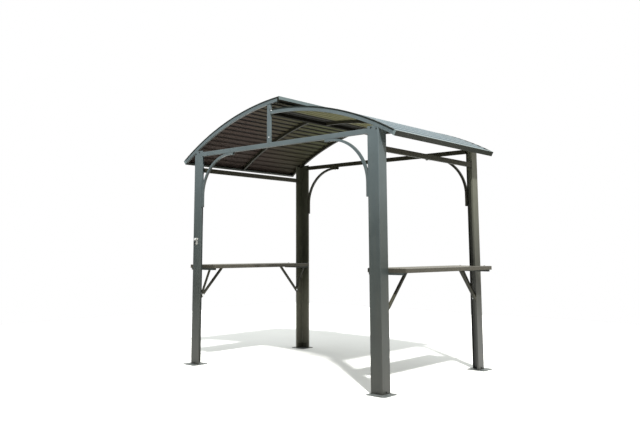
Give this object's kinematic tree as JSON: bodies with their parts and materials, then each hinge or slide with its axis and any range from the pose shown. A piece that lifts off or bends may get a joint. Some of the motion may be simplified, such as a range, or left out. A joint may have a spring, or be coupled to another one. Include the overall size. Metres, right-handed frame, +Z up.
{
  "type": "grill gazebo",
  "caption": "Open steel grill gazebo: folded angle posts on bolted base plates, side shelves, curved knee braces and a stepped arched roof of ribbed sheet with a vent along the ridge.",
  "frame": {"origin": "on the ground at the centre of the four posts", "axes": "+X along the front from the left post to the right post, +Y from the front to the back, +Z up"},
  "size_m": [2.44, 1.637, 2.3222],
  "materials": {
    "frame_paint": "dark grey powder coat with a fine satin texture",
    "roof_paint": "grey-brown coil coating, satin",
    "trim_paint": "dark grey powder coat, satin",
    "shelf_paint": "dark brown-grey powder coat, satin",
    "galvanised_steel": "pale zinc with a dull sheen",
    "cast_steel": "bright plated casting"
  },
  "bodies": {
    "root": {"base_plate_back_left": "galvanised_steel", "base_plate_back_right": "galvanised_steel", "base_plate_front_left": "galvanised_steel", "base_plate_front_right": "galvanised_steel", "bottle_opener": "cast_steel", "eave_trim_left": "trim_paint", "eave_trim_right": "trim_paint", "king_post_back": "frame_paint", "king_post_front": "frame_paint", "knee_brace_back_left": "frame_paint", "knee_brace_back_right": "frame_paint", "knee_brace_front_left": "frame_paint", "knee_brace_front_right": "frame_paint", "post_back_left": "frame_paint", "post_back_right": "frame_paint", "post_front_left": "frame_paint", "post_front_right": "frame_paint", "rafter_left_back": "frame_paint", "rafter_left_front": "frame_paint", "rafter_left_middle": "frame_paint", "rafter_right_back": "frame_paint", "rafter_right_front": "frame_paint", "rafter_right_middle": "frame_paint", "ridge_purlin": "frame_paint", "ridge_rail": "frame_paint", "ridge_trim": "trim_paint", "roof_sheet_left": "roof_paint", "roof_sheet_right": "roof_paint", "shelf_arms_left": "frame_paint", "shelf_arms_right": "frame_paint", "shelf_left": "shelf_paint", "shelf_right": "shelf_paint", "shelf_stays_left": "frame_paint", "shelf_stays_right": "frame_paint", "shelf_strut_back_left": "frame_paint", "shelf_strut_back_right": "frame_paint", "shelf_strut_front_left": "frame_paint", "shelf_strut_front_right": "frame_paint", "side_beam_left": "frame_paint", "side_beam_right": "frame_paint", "tie_beam_back": "frame_paint", "tie_beam_front": "frame_paint", "verge_trim_back": "trim_paint", "verge_trim_front": "trim_paint"}
  },
  "joints": []
}
